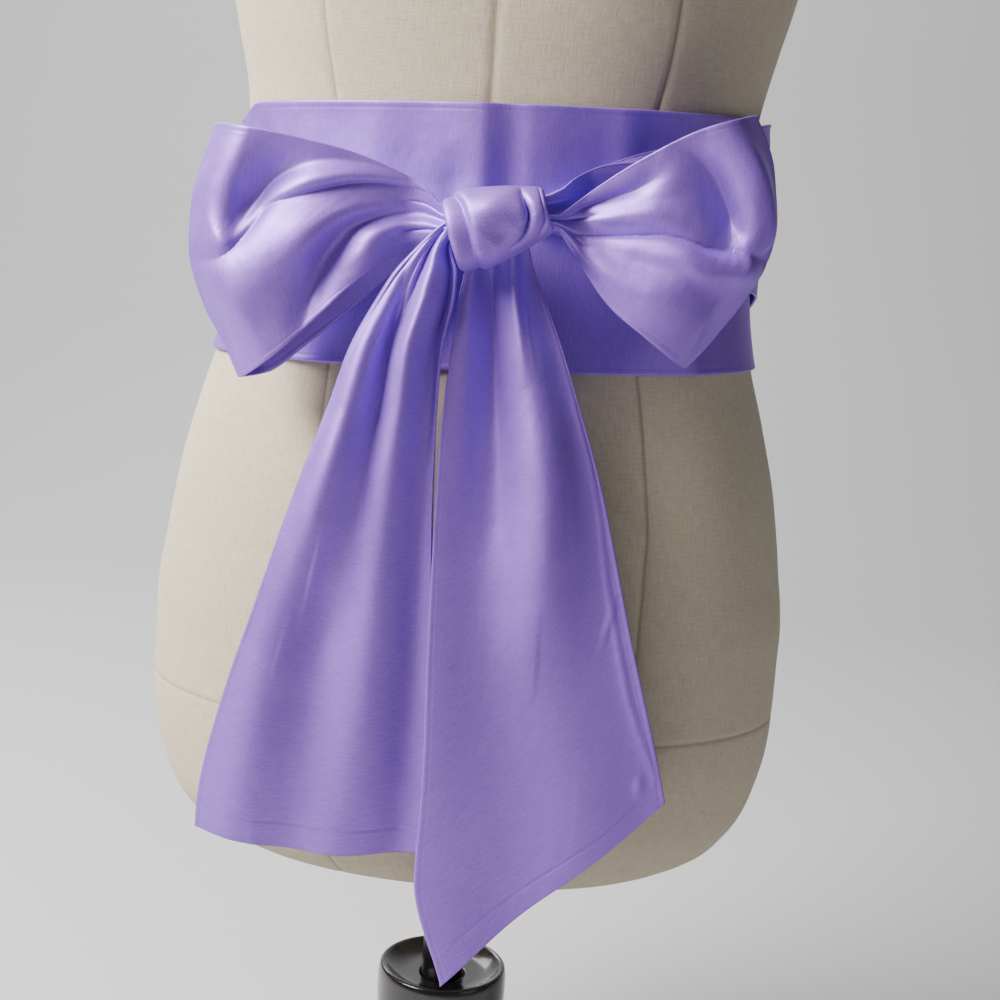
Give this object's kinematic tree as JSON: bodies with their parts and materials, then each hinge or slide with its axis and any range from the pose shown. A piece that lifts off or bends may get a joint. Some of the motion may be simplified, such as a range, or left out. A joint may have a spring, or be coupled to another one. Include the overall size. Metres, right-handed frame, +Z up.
{
  "type": "satin sash on a dress form",
  "caption": "Lilac satin sash wound round the waist of a linen-covered limbless dress form and tied in front in a bow with long tails, on a low round stand.",
  "frame": {"origin": "bottom centre of the stand's base, on the pole's axis", "axes": "+Z up along the pole, -Y towards the front of the form, where the bow is; +X is the wearer's left"},
  "size_m": [0.37, 0.37, 1.0334],
  "materials": {
    "satin": "lilac polyester satin, soft sheen",
    "linen": "natural slub linen, matte",
    "black_wood": "black lacquer, glossy",
    "steel": "black enamelled steel tube, semi-gloss"
  },
  "bodies": {
    "root": {"sash_band": "satin", "sash_wrap_left": "satin", "sash_wrap_right": "satin", "sash_knot": "satin", "sash_loop_left": "satin", "sash_loop_right": "satin", "sash_tail_left": "satin", "sash_tail_right": "satin", "form_body": "linen", "form_neck_cap": "black_wood", "stand_pole": "steel", "stand_hub": "black_wood", "stand_column": "black_wood", "stand_base": "black_wood"}
  },
  "joints": []
}
